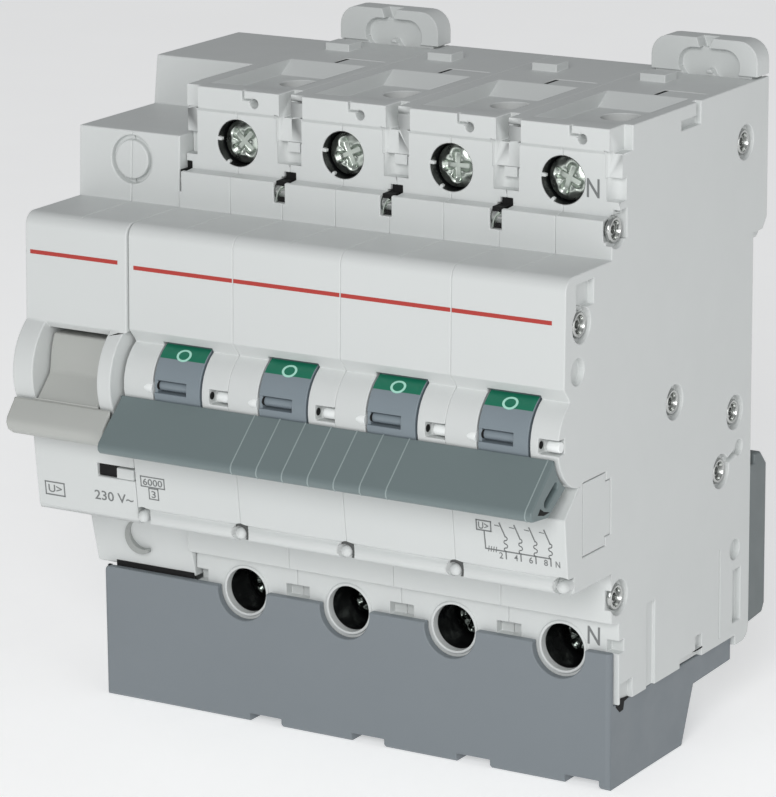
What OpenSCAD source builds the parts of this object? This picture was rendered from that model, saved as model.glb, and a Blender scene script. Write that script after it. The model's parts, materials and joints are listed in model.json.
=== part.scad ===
// Four-pole modular circuit breaker with a one-module release block on its left.
// X runs across the modules, minus Y is the front, Z is up.
// The origin is the centre of the mounting rail, on the rear seat of the housing.

/* [Housing] */
// Width of one module
module_w = 18; // [17.8:0.1:18.2]
// Top of the housing above the rail centre
top_z = 40.4; // [40:0.1:41]
// Bottom of the housing below the rail centre
bottom_z = 43.2; // [43:0.1:43.6]
// Half height of the front nose
nose_half = 22.4; // [22.2:0.1:22.8]
// Depth of the shoulder in front of the rail seat
shoulder_d = 44; // [43.8:0.1:44.4]
// Depth of the nose face in front of the rail seat
nose_d = 57.6; // [57.5:0.1:58]
// Thickness of the housing walls
wall = 1.4; // [1.2:0.1:1.5]

/* [Operating handles] */
// Radius of the toggle drums
drum_r = 7.2; // [7.1:0.05:7.25]
// Width of one toggle drum
drum_w = 7.9; // [7.4:0.1:8.1]
// Radius of the steel toggle axles
axle_r = 1.55; // [1.3:0.05:1.7]
// Reach of the handle bar in front of the rail seat
bar_reach = 66.1; // [65:0.1:67]
// Radius of the release block's lever guides
guide_r = 9.5; // [9.3:0.1:9.6]

/* [Terminals] */
// Height of the upper terminal screws
upper_screw_z = 32.4; // [32:0.1:32.6]
// Depth of the lower terminal screws below the rail centre
lower_screw_z = 35.8; // [35.6:0.1:36]
// Radius of the screwdriver openings
driver_r = 3.5; // [3.4:0.1:3.6]
// Radius of the terminal screw heads
head_r = 3.2; // [3:0.1:3.2]
// Radius of the wire entries in the top
wire_r = 3; // [2.8:0.1:3.1]

/* [Rail fixing] */
// Width of one rail latch
latch_w = 17.4; // [17:0.1:17.4]
// Height of the latch tabs above the rail centre
latch_top = 45.9; // [45:0.1:47]
// Depth of the part behind the rail seat
rear_d = 4.4; // [4.2:0.1:4.6]

/* [Link box] */
// Bottom of the link box below the rail centre
box_bottom = 55.9; // [55.5:0.1:56.4]
// Front of the link box in front of the rail seat
box_front = 42.9; // [42.6:0.1:43.4]

/* [Hidden] */
$fn = 48;

half_w = module_w / 2;
right_x = 2.5 * module_w;
left_x = -right_x;
release_x = -2 * module_w;
split_x = -1.5 * module_w;

// Depth of each face in front of the rail seat
terminal_d = 41.8;
lower_face_d = 41.4;
cap_d = 42.3;
lower_strip_d = 43.7;

// Heights of the steps in the front
cap_z = 37.2;
strip_z = 28;
lower_strip_z = -30.4;
ledge_z = 6.9;

// Common pivot of the toggles and the release lever
pivot = [-52.4, -1.1];
cheek_r = 6.9;
slot_r = drum_r + 0.35;
drum_shift = 0.3;
travel = 0.3;

// Rivets through the breaker, as depth and height
RIVETS = [
  [-42.4, 26.4], [-52.7, 15.1], [-24.8, -2.3], [-5.5, -8.3],
  [-9.8, -16.3], [-3, 31.8], [-41.5, -27]
];
RELEASE_RIVETS = [[-40, 26], [-52, 16], [-8, -36], [-8, 34], [-36.5, -30]];
rivet_r = 1.2;

// Contact arms, trip shaft and magnets, as depth and height
arm_pivot = [-42.5, 17];
arm_pin_r = 1.2;
trip_axis = [-47.5, -15.5];
trip_r = 1.5;
coil_z = 8;
solenoid_z = -15.5;
fit = 0.06;

// Ball-ended pins along the lower edge of the nose, two of them just inside its ends
PIN_X = [split_x + 0.9, -half_w, half_w, half_w + module_w, right_x - 0.9];
pin_seat_y = -54.6;

// Terminal parts, as depths
upper_head_y = -40.5;
lower_head_y = -35.9;

LIGHT = [0.8, 0.81, 0.8];
SLATE = [0.44, 0.48, 0.5];
STEEL = [0.75, 0.76, 0.75];
COPPER = [0.72, 0.43, 0.26];

function pole_x(i) = (i - 2) * module_w;
function drum_x(i) = pole_x(i) + drum_shift;
function arc(c, r, a0, a1, n) =
  [for (k = [0:n]) let (a = a0 + (a1 - a0) * k / n) [c[0] + r * cos(a), c[1] + r * sin(a)]];

// A side outline drawn as depth and height, spread from x0 to x1
module slab(points, x0, x1) {
  translate([x0, 0, 0]) rotate([90, 0, 90]) linear_extrude(x1 - x0) polygon(points);
}
module block(x0, x1, y0, y1, z0, z1) {
  translate([x0, y0, z0]) cube([x1 - x0, y1 - y0, z1 - z0]);
}
module rod_x(r, x0, x1, at) {
  translate([x0, at[0], at[1]]) rotate([0, 90, 0]) cylinder(r = r, h = x1 - x0);
}
module rod_y(r, y0, y1, x, z) {
  translate([x, y0, z]) rotate([-90, 0, 0]) cylinder(r = r, h = y1 - y0);
}
module rod_z(r, z0, z1, x, y) {
  translate([x, y, z0]) cylinder(r = r, h = z1 - z0);
}

// ---- Housing outlines ----

rail_edge = 17.7;
rear_top = [[0, rail_edge], [3, rail_edge], [rear_d, rail_edge + 1.7], [rear_d, top_z]];
pole_outline = concat(
  [[-cap_d, top_z], [-cap_d, cap_z], [-terminal_d, cap_z - 0.5], [-terminal_d, strip_z]],
  [[-shoulder_d, strip_z - 0.2], [-shoulder_d, nose_half]],
  arc([-nose_d + 2.4, nose_half - 2], 2, 90, 175, 6),
  [[-nose_d, ledge_z], [-56.3, 5.35]],
  arc(pivot, cheek_r, 121, 262, 16),
  [[-57.4, -11.6], [-56.5, -20.2], [-56.1, -20.5]],
  arc([-55.4, -21.6], 1.3, 135, 270, 6),
  [[-lower_strip_d, -22.9], [-lower_strip_d, lower_strip_z], [-lower_face_d, lower_strip_z - 0.6]],
  [[-lower_face_d, -bottom_z], [-4.4, -bottom_z], [-4.4, -bottom_z - 1.6]],
  arc([-2.2, -bottom_z + 0.6], 2.2, 270, 360, 5),
  rear_top
);
release_outline = concat(
  [[0, 40.2], [-22.6, 40.2], [-23.7, 32.9], [-43.2, 32.9], [-43.8, nose_half]],
  arc([-nose_d + 2, nose_half - 2], 2, 90, 175, 6),
  arc(pivot, guide_r, 127, 238, 18),
  [[-57.3, -11.5], [-56.3, -22], [-55.8, -22.9], [-43.2, -22.9], [-43.2, -27.7]],
  [[-41.5, -35], [-36, -35], [-36, -bottom_z], [0, -bottom_z]]
);

// Space for the mechanism inside a pole, as seen from the side
module pole_space() {
  difference() {
    union() {
      translate([-40.2, -29.6]) square([40.2 - 1.6, 55.8]);
      polygon([
        [-40, 20.6], [-55.9, 20.6], [-55.9, 8.6], [-53.2, 5.6], [-52, -7.6],
        [-55.6, -12.2], [-54.8, -20.2], [-40, -20.6]
      ]);
    }
    translate(pivot) circle(cheek_r);
    for (p = RIVETS) translate(p) circle(rivet_r + 1.1);
  }
}
module extrude_x(x0, x1) {
  translate([x0, 0, 0]) rotate([90, 0, 90]) linear_extrude(x1 - x0) children();
}

// Room for one upper terminal: driver opening, retaining web, clamp pocket and wire funnel
module upper_terminal_room(x) {
  rod_y(driver_r, -cap_d - 1, upper_head_y + 2.1, x, upper_screw_z);
  rod_y(2.7, upper_head_y, -36, x, upper_screw_z);
  block(x - 6, x + 6, -36.9, -19.2, 27.8, 37);
  block(x - 4, x + 4, -29.4, -27.3, 26, 28);
  rod_z(wire_r, 36, top_z, x, -24.6);
  slab([[-39.5, top_z + 1], [-39.5, top_z], [-30, 38.4], [-20, 38.4], [-17, top_z], [-17, top_z + 1]],
       x - 6.3, x + 6.8);
}
// Room for one lower terminal, with the window for the link tab below it
module lower_terminal_room(x) {
  rod_y(driver_r, -lower_face_d - 2, lower_head_y + 2.1, x, -lower_screw_z);
  rod_y(2.7, lower_head_y, -32.8, x, -lower_screw_z);
  block(x - 6, x + 6, -32.9, -15.4, -40.4, -31.4);
  block(x - 4, x + 4, -25.4, -23.3, -31.5, -29);
  block(x - 3.6, x + 3.6, -27, -18, -46, -40);
}
// Pockets and slots around the joint between two modules
module joint_cuts(x) {
  block(x - 1.4, x + 0.2, -cap_d - 1, -38, cap_z - 0.4, top_z + 1);
  block(x + 0.2, x + 2.6, -cap_d - 1, -41.5, cap_z, top_z + 1);
  block(x - 2.3, x + 2.1, -cap_d - 1, -terminal_d + 0.7, 33.3, cap_z);
  block(x - 2.1, x + 2, -cap_d - 1, -terminal_d + 2, 30.1, 33.4);
  block(x - 1, x + 1, -cap_d - 1, -39.6, strip_z - 1, 29);
  block(x - 1.5, x + 0.4, -shoulder_d - 1, -39.6, 24.8, strip_z + 0.2);
  block(x - 2, x + 2, -lower_face_d - 1, -lower_face_d + 1.6, -35.5, -33.6);
}
// Guide for a rail latch behind a pole
module latch_room(x) {
  block(x - 8.2, x + 8.2, 0.6, rear_d + 1, 16, top_z + 1);
  block(x - 3.3, x + 3.3, -2, 1, 18.6, 29.2);
  block(x - 4.7, x + 4.7, -2.9, -1.6, 25, 28.6);
}

module pole_shell(i, side) {
  x = pole_x(i);
  outer = x + side * half_w;
  inner = x + side * (half_w - wall);
  lo = min(x, outer);
  hi = max(x, outer);
  color(LIGHT) difference() {
    union() {
      difference() {
        slab(pole_outline, lo, hi);
        extrude_x(min(x - side, inner), max(x - side, inner)) pole_space();
      }
      if (side < 0) block(x - 5.8, x - 1.6, -8.2, -4.4, top_z - 1, top_z + 1.2);
      rod_x(arm_pin_r, min(x, inner), max(x, inner), arm_pivot);
      intersection() {
        rod_y(driver_r + 0.45, -lower_face_d - 0.3, -lower_face_d + 1, x, -lower_screw_z);
        block(lo, hi, -45, -40, -42, -30);
      }
    }
    upper_terminal_room(x);
    lower_terminal_room(x);
    joint_cuts(outer);
    for (pin_x = PIN_X) rod_y(1.5, -58, pin_seat_y, pin_x, -21.6);
    rod_x(slot_r, drum_x(i) - drum_w / 2 - travel, drum_x(i) + drum_w / 2 + travel, pivot);
    rod_x(axle_r + 0.01, x - 8.05, x + 8.05, pivot);
    for (p = RIVETS) rod_x(rivet_r + 0.02, lo - 1, hi + 1, p);
    rod_x(trip_r + fit, lo - 1, hi + 1, trip_axis);
    if (i == 1 || i == 4) latch_room(x);
    if (side > 0) block(x + 5.8, outer + 1, -60, -57.4, -2.05, 0.15);
    if (i == 4 && side > 0) side_details();
  }
}

// Counterbores, holes and pockets in the breaker's right side
module side_details() {
  for (p = RIVETS) rod_x(2.6, right_x - 1.1, right_x + 1, p);
  rod_x(1.9, right_x - 1, right_x + 1, [-53.8, 8.7]);
  rod_x(1.2, right_x - 1, right_x + 1, [-4, -14]);
  rod_x(1.6, right_x - 1, right_x + 1, [-4.9, -29.6]);
  block(right_x - 1, right_x + 1, -54.2, -49.2, 17.4, 21);
  block(right_x - 1, right_x + 1, -5.4, -2.9, -41, -32.8);
  block(right_x - 1, right_x + 1, -23.4, -17.4, 37, 38.4);
  block(right_x - 1, right_x + 1, -18.8, -17.4, 37, top_z + 1);
  block(right_x - 0.5, right_x + 1, -32.9, -30.4, -43.9, -30.4);
  slab(cap_outline(0), right_x - 0.8, right_x + 1);
}
function cap_outline(gap) = [
  [-52.2 + gap, -18.3 + gap], [-45.6 - gap, -18.3 + gap], [-45.6 - gap, -17 + gap],
  [-44 - gap, -17 + gap], [-44 - gap, -8.8 - gap], [-45.4 - gap, -8.8 - gap],
  [-45.4 - gap, -7.5 - gap], [-52.2 + gap, -7.5 - gap]
];
module side_cap() {
  color(LIGHT) slab(cap_outline(0.15), right_x - 0.8, right_x - 0.05);
}

// ---- Release block ----

module release_space() {
  difference() {
    union() {
      translate([-40.4, -41.6]) square([38.8, 72.8]);
      translate([-21, 30]) square([19.4, 8.6]);
      polygon([
        [-40, 20.8], [-55.9, 20.8], [-56, 9.6], [-52.4, 7], [-52, -9], [-55.8, -12.2],
        [-54.8, -21.2], [-40, -21.2]
      ]);
    }
    translate([-42, -45]) square([6.4 + wall, 11.4]);
    translate(pivot) circle(guide_r);
    for (p = RELEASE_RIVETS) translate(p) circle(rivet_r + 1.1);
  }
}
release_seam = release_x + 0.4;
lever_left = left_x + 3.6;
lever_right = split_x - 3;
bar_sweep_r = 11;
bar_relief = 0.6;

module release_shell(side) {
  lo = side < 0 ? left_x : release_seam;
  hi = side < 0 ? release_seam : split_x;
  inner_lo = side < 0 ? left_x + wall : release_seam - 1;
  inner_hi = side < 0 ? release_seam + 1 : split_x - wall;
  color(LIGHT) difference() {
    slab(release_outline, lo, hi);
    extrude_x(inner_lo, inner_hi) release_space();
    rod_x(8.1, lever_left, lever_right, pivot);
    slab([[-70, 8], [-58.2, 6.6], [-56.9, 5.1], [-52, 0], [-52, -8], [-56.9, -10.4], [-70, -12]],
         lever_left, lever_right);
    rod_x(axle_r + 0.01, left_x + wall, split_x - wall, pivot);
    for (p = RELEASE_RIVETS) rod_x(rivet_r + 0.02, lo - 1, hi + 1, p);
    rod_x(trip_r + fit, release_x, split_x + 1, trip_axis);
    block(-33.8, split_x + 1, -60, -54, -16.3, -14.3);
    difference() {
      rod_y(3.6, -45, -42.4, release_seam, 28.6);
      rod_y(2.9, -45, -42, release_seam, 28.6);
    }
    if (side < 0) for (p = RELEASE_RIVETS) rod_x(2.6, left_x - 1, left_x + 1.1, p);
    intersection() {
      rod_x(bar_sweep_r, split_x - bar_relief, split_x + 1, pivot);
      block(split_x - bar_relief, split_x + 1, -70, -50, -14, 6.4);
    }
  }
}

// Thumb lever with a full-width lip in front of the two guides
module release_lever() {
  lip = concat(
    [[-61.75, -4.5], [-62.8, -5.7], [-63.9, -7], [-64.2, -7.9], [-63.8, -9], [-62.6, -9.8]],
    [[-58.5, -10.9]],
    arc(pivot, guide_r + 0.3, 230, 200, 5)
  );
  paddle = [
    [-56.7, 4.6], [-57.4, 3], [-57.8, 1.2], [-58, -0.4], [-58.3, -1.3], [-62, -5],
    [-61, -8], [-57.9, -9.6], [-55, -6.2], [-52.4, -1.1], [-53, 4.4]
  ];
  color([0.68, 0.68, 0.66]) difference() {
    union() {
      slab(lip, left_x + 0.1, split_x - 0.7);
      slab(paddle, lever_left + travel, lever_right - travel);
      rod_x(5.6, lever_left + travel, lever_right - travel, pivot);
    }
    rod_x(axle_r + fit, left_x, split_x, pivot);
  }
}
module release_axle() {
  color(STEEL) rod_x(axle_r, left_x + wall + 0.05, split_x - wall - 0.05, pivot);
}
module interlock_slider() {
  color(LIGHT) union() {
    block(-30.1, split_x - 0.15, -57.2, -55.6, -16.1, -14.5);
    block(-29.6, split_x - 1.9, -55.6, -52.6, -16.1, -14.5);
  }
}
module release_rivets() {
  color(STEEL) for (p = RELEASE_RIVETS) {
    rod_x(rivet_r, left_x + 0.6, split_x - 0.1, p);
    rod_x(2.2, left_x + 0.4, left_x + 1.1, p);
  }
}
module circuit_board() {
  color([0.2, 0.42, 0.28]) {
    block(-43.3, -41.7, -34.5, -11, -27, 25);
    block(-41.7, -37, -31, -22, 10, 22);
    block(-41.7, -38.5, -18, -13, 12, 20);
    block(-41.7, -38, -20, -13, -2, 6);
  }
}
module release_solenoid() {
  color(STEEL) difference() {
    union() {
      block(-40.6, -29.4, -33, -31.8, solenoid_z - 5.6, solenoid_z + 5.6);
      block(-40.6, -29.4, -15.2, -14, solenoid_z - 5.6, solenoid_z + 5.6);
      block(-40.6, -29.4, -33, -14, solenoid_z + 4.6, solenoid_z + 5.6);
      rod_y(4.4, -32, -15, -35, solenoid_z);
    }
    rod_y(2.1, -34, -16.5, -35, solenoid_z);
  }
}
module release_plunger() {
  color(STEEL) union() {
    rod_y(1.9, -41, -22, -35, solenoid_z);
    rod_y(3, -42, -41, -35, solenoid_z);
  }
}
// Spring between the plunger head and the solenoid frame, closed up to a ribbed sleeve
module plunger_spring() {
  color(STEEL) translate([-35, -40.9, solenoid_z]) rotate([-90, 0, 0]) rotate_extrude() union() {
    translate([2.2, 0]) square([0.4, 7.6]);
    for (k = [0:5]) translate([2.5, 0.45 + 1.34 * k]) circle(0.4, $fn = 16);
  }
}

// ---- Handles ----

module toggle(i) {
  x = drum_x(i);
  color([0.49, 0.54, 0.57]) difference() {
    rod_x(drum_r, x - drum_w / 2, x + drum_w / 2, pivot, $fn = 96);
    rod_x(axle_r + fit, x - drum_w, x + drum_w, pivot);
    difference() {
      block(x - drum_w, x + 1.6, -61, -58, -1.5, 0.45);
      rod_x(0.75, x - drum_w, x + 1.6, [-58.4, -0.5]);
    }
  }
}
bar_section = concat(
  [[pivot[0] + drum_r * cos(191), pivot[1] + drum_r * sin(191)]],
  [[-bar_reach + 0.3, -8.1], [-bar_reach, -8.7], [-bar_reach, -9.3], [-bar_reach + 0.5, -9.9]],
  [[-61.3, -10.3], [-59.2, -9]],
  arc(pivot, drum_r, 238, 191, 24)
);
module handle_bar() {
  bar_lo = split_x - 0.25;
  bar_hi = right_x - 0.4;
  color([0.41, 0.46, 0.47]) difference() {
    slab(bar_section, bar_lo, bar_hi);
    rod_x(drum_r, bar_lo - 1, bar_hi + 1, pivot, $fn = 96);
    slab([[-61.5, -5.4], [-62.5, -6.2], [-62, -8.8], [-61, -8.4]], bar_hi - 1.6, bar_hi + 1);
  }
}
module toggle_axles() {
  color(STEEL) for (i = [1:4]) rod_x(axle_r, pole_x(i) - 8, pole_x(i) + 8, pivot);
}

// ---- Terminals ----

// Captive screw whose head faces the front
module terminal_screw(x, z, head_y, tip_y) {
  color(STEEL) difference() {
    union() {
      rod_y(head_r, head_y, head_y + 2, x, z);
      rod_y(2.45, head_y + 1.9, tip_y, x, z);
    }
    block(x - 0.5, x + 0.5, head_y - 1, head_y + 1.2, z - 2.3, z + 2.3);
    block(x - 2.3, x + 2.3, head_y - 1, head_y + 1.2, z - 0.5, z + 0.5);
  }
}
// Box clamp with a threaded front wall, open up and down for the wire
module cage_clamp(x, z, front_y) {
  color([0.7, 0.7, 0.66]) difference() {
    block(x - 5.4, x + 5.4, front_y, front_y + 11.3, z - 4.1, z + 4.1);
    block(x - 4.1, x + 4.1, front_y + 2, front_y + 9.8, z - 5, z + 5);
    rod_y(2.52, front_y - 1, front_y + 3, x, z);
  }
}
module upper_screw(i) {
  terminal_screw(pole_x(i), upper_screw_z, upper_head_y, -29.3);
}
module lower_screw(i) {
  terminal_screw(pole_x(i), -lower_screw_z, lower_head_y, -25.3);
}
module upper_clamp(i) {
  cage_clamp(pole_x(i), upper_screw_z, -31.2);
}
module lower_clamp(i) {
  cage_clamp(pole_x(i), -lower_screw_z, -31.9);
}

// ---- Inside each pole ----

module line_conductors() {
  color(COPPER) for (i = [1:4])
    block(pole_x(i) - 3.4, pole_x(i) + 3.4, -28.9, -27.8, 15.1, 36.2);
}
// Arms that swing the moving contacts, shown open
module contact_arms() {
  color(COPPER) for (i = [1:4]) difference() {
    union() {
      block(pole_x(i) - 1.6, pole_x(i) + 1.6, -44.4, -42.6, -10, 16);
      rod_x(2.6, pole_x(i) - 1.6, pole_x(i) + 1.6, arm_pivot);
      rod_y(1.6, -42.7, -41.6, pole_x(i), -8);
    }
    rod_x(arm_pin_r + fit, pole_x(i) - 2, pole_x(i) + 2, arm_pivot);
  }
}
module fixed_contacts() {
  color(COPPER) for (i = [1:4]) {
    rod_y(1.6, -36.4, -35.3, pole_x(i), -8);
    block(pole_x(i) - 2.4, pole_x(i) + 2.4, -35.4, -34.4, -12, 5);
  }
}
// Stack of splitter plates between two insulating cards
module arc_chutes() {
  for (i = [1:4]) {
    color(STEEL) for (k = [0:7]) difference() {
      block(pole_x(i) - 6.4, pole_x(i) + 6.4, -32, -15, -24.6 + 2.1 * k, -23.8 + 2.1 * k);
      slab([[-33, -30], [-27, -30], [-27, 0], [-33, 0]], pole_x(i) - 1.4, pole_x(i) + 1.4);
    }
    color([0.62, 0.4, 0.28]) for (s = [-1, 1])
      translate([pole_x(i) + s * 6.7, -23.5, -16.8]) cube([0.6, 17.6, 17.6], center = true);
  }
}
// Winding on its bobbin inside a bent steel yoke
module magnet_coils() {
  for (i = [1:4]) color(COPPER) difference() {
    union() {
      for (k = [0:5]) translate([pole_x(i), -31.9 + 2.15 * k, coil_z]) rotate([90, 0, 0])
        rotate_extrude() translate([4.1, 0]) circle(1.15, $fn = 24);
      rod_y(3.6, -33.3, -19.7, pole_x(i), coil_z);
      block(pole_x(i) - 4, pole_x(i) + 4, -34.4, -33.2, 2.6, 15);
      block(pole_x(i) - 4, pole_x(i) + 4, -19.8, -18.6, 2.6, 15);
      block(pole_x(i) - 4, pole_x(i) + 4, -34.4, -18.6, 14, 15);
    }
    rod_y(2, -36, -20.6, pole_x(i), coil_z);
  }
}
module striker(i) {
  color(STEEL) union() {
    rod_y(1.8, -34.2, -23.4, pole_x(i), coil_z);
    rod_y(0.9, -38.2, -34, pole_x(i), coil_z);
  }
}
// Bimetal strip with the conductor down to the lower terminal
module bimetals() {
  color([0.7, 0.6, 0.48]) for (i = [1:4]) {
    block(pole_x(i) - 2.5, pole_x(i) + 2.5, -13.8, -12.8, -28.9, 22);
    block(pole_x(i) - 2.5, pole_x(i) + 2.5, -24.9, -12.8, -28.9, -27.9);
    block(pole_x(i) - 3.4, pole_x(i) + 3.4, -24.9, -23.8, -40.2, -27.9);
  }
}
// Flexible leads from the bimetals to the arms
module braids() {
  color(COPPER) for (i = [1:4]) {
    side = pole_x(i) + 5.6;
    rod_y(0.8, -42.6, -13.3, side, 19.8);
    for (end_y = [-42.6, -13.3]) translate([side, end_y, 19.8]) sphere(0.8);
    rod_x(0.8, pole_x(i) + 2.5, side, [-13.3, 19.8]);
    rod_x(0.8, pole_x(i) + 3.2, side, [-42.6, 19.8]);
  }
}
module trip_shaft() {
  color([0.3, 0.32, 0.34]) union() {
    rod_x(trip_r, release_x - 3, right_x - wall - 0.2, trip_axis);
    for (i = [1:4]) block(pole_x(i) + 3.2, pole_x(i) + 5, -48.2, -46.8, -16, -9.6);
    block(release_x - 0.4, release_x + 2.4, -48.2, -46.8, -16, -10);
  }
}
module housing_rivets() {
  color(STEEL) for (p = RIVETS) difference() {
    union() {
      rod_x(rivet_r, split_x + 0.1, right_x - 0.6, p);
      rod_x(2.2, right_x - 1.08, right_x - 0.3, p);
    }
    rod_x(1.1, right_x - 0.8, right_x, p);
  }
}
module link_pins() {
  color(LIGHT) for (x = PIN_X)
    union() {
      rod_y(0.9, -56.2, pin_seat_y, x, -21.6);
      translate([x, -56.2, -21.6]) sphere(0.9);
    }
}

// ---- Rail fixing and link box ----

// Sliding latch with a finger tab above the housing and a hook below
module rail_latch(x) {
  tab_lo = x - latch_w / 2 + 0.3;
  scoop_top = latch_top - 1.5;
  scoop_y = 1.9;
  color(LIGHT) difference() {
    union() {
      block(x - 7.9, x + 7.9, 0.9, rear_d, 17.9, 41.1);
      slab([[1.5, 16.4], [3.2, 16.4], [rear_d, 17.6], [rear_d, 18], [1.5, 18]], x - 7.9, x + 7.9);
      translate([0, rear_d, 0]) rotate([90, 0, 0]) linear_extrude(rear_d - 0.4)
        polygon(concat(
          [[tab_lo, top_z + 0.35], [tab_lo + latch_w, top_z + 0.35]],
          arc([tab_lo + latch_w - 3, latch_top - 3], 3, 0, 90, 6),
          arc([tab_lo + 3, latch_top - 3], 3, 90, 180, 6)
        ));
      block(x - 3, x + 3, -1.9, 1, 19, 23.5);
      block(x - 4.4, x + 4.4, -2.6, -1.9, 19.3, 23.2);
    }
    block(x - 3.9, x + 6.1, -1, scoop_y, top_z + 0.9, scoop_top - 2.4);
    block(x - 1.5, x + 3.7, -1, scoop_y, top_z + 0.9, scoop_top);
    for (dx = [-1.5, 3.7]) rod_y(2.4, -1, scoop_y, x + dx, scoop_top - 2.4);
    translate([x, 2.8, 0]) rotate([90, 0, 0]) linear_extrude(4) polygon([
      [-0.4, scoop_top - 0.1], [0.9, scoop_top - 0.1], [2, latch_top + 0.5], [-1.1, latch_top + 0.5]
    ]);
  }
}
module rail_foot() {
  color(SLATE) slab([
    [0, -17.8], [1.5, -17.8], [1.5, -16.4], [3.4, -16.4], [5.4, -18.6], [5.4, -40.6], [4.6, -42],
    [0, -42.4]
  ], left_x, right_x);
}
module link_box() {
  box_lo = left_x + 1.9;
  box_hi = right_x - 0.7;
  color(SLATE) difference() {
    slab([
      [-box_front, -35.3], [-box_front, -box_bottom + 0.5], [-box_front + 0.5, -box_bottom],
      [-20.2, -box_bottom], [-16.6, -47.4], [-4.5, -47.1], [-4.5, -bottom_z - 0.1],
      [-lower_face_d - 0.2, -bottom_z - 0.1], [-lower_face_d - 0.2, -35.3]
    ], box_lo, box_hi);
    slab([
      [-41, -45], [-41, -box_bottom + 2.6], [-21.4, -box_bottom + 2.6], [-17.8, -45]
    ], box_lo + 1.5, box_hi - 1.5);
    for (i = [1:4]) {
      rod_y(driver_r + 0.8, -50, -40, pole_x(i), -lower_screw_z);
      block(pole_x(i) - 3.6, pole_x(i) + 3.6, -27, -19.5, -46, -40);
      block(pole_x(i) + 1, pole_x(i) + 6.6, -box_front - 1, -30, -box_bottom - 1, -box_bottom + 1.3);
    }
  }
}
// Four flat links, one level each, rising into the lower clamps
module link_busbars() {
  color(COPPER) for (i = [1:4]) {
    level = -45.6 - 1.7 * (i - 1);
    block(pole_x(i) - 2.5, pole_x(i) + 2.5, -23.7, -22.2, level - 1.1, -32.2);
    block(pole_x(i) - 2.5, pole_x(i) + 2.5, -34, -22.2, level - 1.1, level);
    block(release_x, pole_x(i) + 2.5, -34, -28, level - 1.1, level);
  }
}

release_shell(-1);  // release_shell_left
release_shell(1);  // release_shell_right
pole_shell(1, -1);  // pole_1_shell_left
pole_shell(1, 1);  // pole_1_shell_right
pole_shell(2, -1);  // pole_2_shell_left
pole_shell(2, 1);  // pole_2_shell_right
pole_shell(3, -1);  // pole_3_shell_left
pole_shell(3, 1);  // pole_3_shell_right
pole_shell(4, -1);  // pole_4_shell_left
pole_shell(4, 1);  // pole_4_shell_right
toggle(1);  // toggle_1
toggle(2);  // toggle_2
toggle(3);  // toggle_3
toggle(4);  // toggle_4
handle_bar();
release_lever();
interlock_slider();
rail_latch(pole_x(1));  // rail_latch_left
rail_latch(pole_x(4));  // rail_latch_right
rail_foot();
link_box();
link_busbars();
upper_screw(1);  // upper_screw_1
upper_screw(2);  // upper_screw_2
upper_screw(3);  // upper_screw_3
upper_screw(4);  // upper_screw_4
lower_screw(1);  // lower_screw_1
lower_screw(2);  // lower_screw_2
lower_screw(3);  // lower_screw_3
lower_screw(4);  // lower_screw_4
upper_clamp(1);  // upper_clamp_1
upper_clamp(2);  // upper_clamp_2
upper_clamp(3);  // upper_clamp_3
upper_clamp(4);  // upper_clamp_4
lower_clamp(1);  // lower_clamp_1
lower_clamp(2);  // lower_clamp_2
lower_clamp(3);  // lower_clamp_3
lower_clamp(4);  // lower_clamp_4
contact_arms();
fixed_contacts();
arc_chutes();
magnet_coils();
striker(1);  // striker_1
striker(2);  // striker_2
striker(3);  // striker_3
striker(4);  // striker_4
line_conductors();
bimetals();
braids();
toggle_axles();
release_axle();
housing_rivets();
release_rivets();
circuit_board();
release_solenoid();
release_plunger();
plunger_spring();
trip_shaft();
side_cap();
link_pins();
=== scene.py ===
"""Looks of a modular circuit breaker with a release block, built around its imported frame.

Shapes are worked out in millimetres and scaled to metres when a piece is finished.
"""

import json
import math

import bmesh
import bpy
from mathutils import Matrix, Vector
from mathutils.bvhtree import BVHTree


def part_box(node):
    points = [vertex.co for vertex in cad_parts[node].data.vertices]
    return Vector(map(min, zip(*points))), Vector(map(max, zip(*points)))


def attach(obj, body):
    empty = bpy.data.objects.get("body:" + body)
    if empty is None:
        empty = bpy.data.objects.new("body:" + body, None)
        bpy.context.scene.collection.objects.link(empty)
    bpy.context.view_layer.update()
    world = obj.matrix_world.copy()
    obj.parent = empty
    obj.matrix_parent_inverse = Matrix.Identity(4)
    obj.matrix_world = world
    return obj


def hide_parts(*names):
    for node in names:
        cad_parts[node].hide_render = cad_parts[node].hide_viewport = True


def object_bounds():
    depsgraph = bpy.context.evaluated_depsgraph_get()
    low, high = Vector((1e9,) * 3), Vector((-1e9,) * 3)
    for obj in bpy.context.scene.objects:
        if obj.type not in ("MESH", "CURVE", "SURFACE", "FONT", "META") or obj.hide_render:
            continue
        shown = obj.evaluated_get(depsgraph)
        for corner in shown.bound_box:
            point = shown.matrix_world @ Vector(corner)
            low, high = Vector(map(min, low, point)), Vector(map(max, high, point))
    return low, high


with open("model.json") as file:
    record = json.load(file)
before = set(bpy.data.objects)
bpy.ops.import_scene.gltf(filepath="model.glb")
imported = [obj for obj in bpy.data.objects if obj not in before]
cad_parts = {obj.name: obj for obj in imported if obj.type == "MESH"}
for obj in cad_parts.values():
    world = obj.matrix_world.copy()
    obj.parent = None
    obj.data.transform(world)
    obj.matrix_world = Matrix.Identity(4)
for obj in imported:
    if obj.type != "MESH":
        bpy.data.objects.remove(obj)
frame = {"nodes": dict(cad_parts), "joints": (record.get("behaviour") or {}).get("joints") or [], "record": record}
cad_low, cad_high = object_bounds()

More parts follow.
